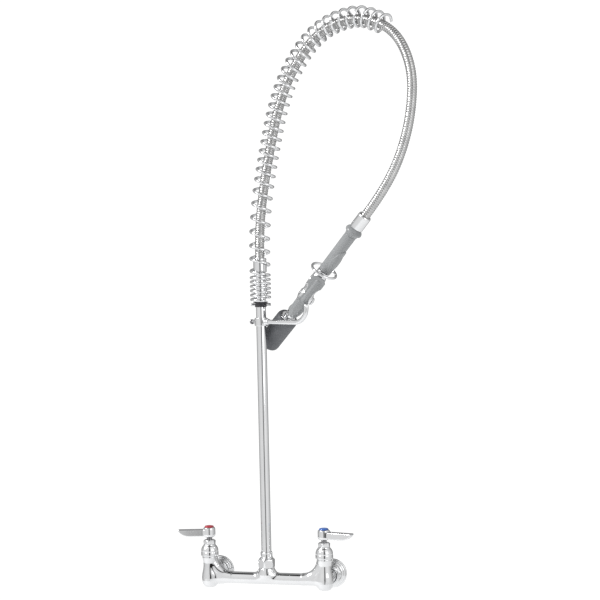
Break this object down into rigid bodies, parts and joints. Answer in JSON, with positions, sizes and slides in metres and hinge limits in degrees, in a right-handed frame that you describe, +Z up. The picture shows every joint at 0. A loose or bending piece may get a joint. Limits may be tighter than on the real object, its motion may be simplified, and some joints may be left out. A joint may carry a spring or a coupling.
{
  "type": "pre rinse faucet",
  "caption": "Wall-mounted kitchen pre-rinse faucet: two-lever mixing faucet, tall riser, overhead coil spring, flexible steel hose and hand-squeezed spray valve on a finger hook.",
  "frame": {"origin": "on the wall plane, midway between the two inlet axes", "axes": "+Z up along the riser, +Y into the wall, +X to the right of a person facing the wall"},
  "size_m": [0.4484, 0.1705, 0.9793],
  "materials": {
    "chrome": "polished plate on brass",
    "steel": "plain stainless",
    "spring_steel": "polished spring wire",
    "hose_steel": "wound stainless strip with fine ribs",
    "dark_steel": "dull sleeve",
    "brass": "machined",
    "washer_rubber": "black sealing rubber",
    "grey_plastic": "moulded, satin",
    "grey_rubber": "soft moulded rubber",
    "dark_plastic": "moulded",
    "red_plastic": "glossy button",
    "blue_plastic": "glossy button"
  },
  "bodies": {
    "faucet": {"mixing_body": "chrome", "hot_inlet_coupling": "chrome", "hot_wall_flange": "chrome", "hot_inlet_washer": "washer_rubber", "hot_bonnet": "chrome", "hot_bonnet_washer": "washer_rubber", "hot_packing_nut": "chrome", "hot_seat": "brass", "cold_inlet_coupling": "chrome", "cold_wall_flange": "chrome", "cold_inlet_washer": "washer_rubber", "cold_bonnet": "chrome", "cold_bonnet_washer": "washer_rubber", "cold_packing_nut": "chrome", "cold_seat": "brass", "riser_washer": "washer_rubber", "riser_nut": "chrome", "riser_collar": "chrome"},
    "hot_handle": {"hot_lever": "chrome", "hot_stem": "brass", "hot_seat_washer": "washer_rubber", "hot_screw": "steel", "hot_index_cap": "red_plastic"},
    "cold_handle": {"cold_lever": "chrome", "cold_stem": "brass", "cold_seat_washer": "washer_rubber", "cold_screw": "steel", "cold_index_cap": "blue_plastic"},
    "riser": {"riser_pipe": "chrome", "spring_holder": "dark_steel", "spring_holder_screws": "chrome", "hose_nut": "chrome", "hose_washer": "washer_rubber", "lower_ferrule": "chrome", "spray_hose": "hose_steel", "overhead_spring": "spring_steel", "valve_ferrule": "chrome", "valve_washer": "washer_rubber", "handle_collar": "grey_plastic", "handle_grip": "grey_plastic", "water_tube": "steel", "valve_body": "chrome", "side_cap": "chrome", "plunger_seal": "washer_rubber", "head_adapter": "brass", "spray_bumper": "grey_rubber", "spray_nozzle": "dark_plastic", "spray_face": "steel", "face_screw": "steel"},
    "finger_hook": {"hook_clamp": "chrome", "hook_rod": "chrome"},
    "hook_screw": {"hook_thumb_screw": "chrome"},
    "hold_ring": {"hold_ring": "chrome"},
    "squeeze_lever": {"squeeze_lever": "grey_plastic", "lever_pin": "steel"},
    "plunger": {"plunger": "steel", "plunger_spring": "steel"}
  },
  "joints": [
    {"name": "hot_handle_turn", "type": "hinge", "parent": "faucet", "child": "hot_handle", "pos_m": [-0.1016, -0.06, 0.075], "axis": [0, 0, 1], "range_deg": [0, 90]},
    {"name": "cold_handle_turn", "type": "hinge", "parent": "faucet", "child": "cold_handle", "pos_m": [0.1016, -0.06, 0.075], "axis": [0, 0, 1], "range_deg": [-90, 0]},
    {"name": "riser_swivel", "type": "hinge", "parent": "faucet", "child": "riser", "pos_m": [0, -0.06, 0.0255], "axis": [0, 0, 1], "range_deg": [-160, 25]},
    {"name": "hook_slide", "type": "slide", "parent": "riser", "child": "finger_hook", "axis": [0, 0, 1], "range_m": [-0.25, 0]},
    {"name": "hook_screw_turn", "type": "hinge", "parent": "finger_hook", "child": "hook_screw", "pos_m": [0, -0.06, 0.4395], "axis": [-0.8988, 0.4384, 0], "range_deg": [0, 360]},
    {"name": "hold_ring_slide", "type": "slide", "parent": "riser", "child": "hold_ring", "axis": [-0.6405, 0.2523, -0.7254], "range_m": [-0.07, 0]},
    {"name": "lever_squeeze", "type": "hinge", "parent": "riser", "child": "squeeze_lever", "pos_m": [0.06568, -0.08559, 0.45724], "axis": [-0.7666, -0.2676, 0.5838], "range_deg": [0, 6], "stiffness_Nm_per_rad": 8, "springref_deg": -4.58},
    {"name": "plunger_push", "type": "slide", "parent": "riser", "child": "plunger", "axis": [-0.0468, 0.9299, 0.3648], "range_m": [0, 0.0045]}
  ],
  "couplings": [
    {"joint": "plunger_push", "follows": "lever_squeeze", "m_per_rad": 0.04}
  ]
}
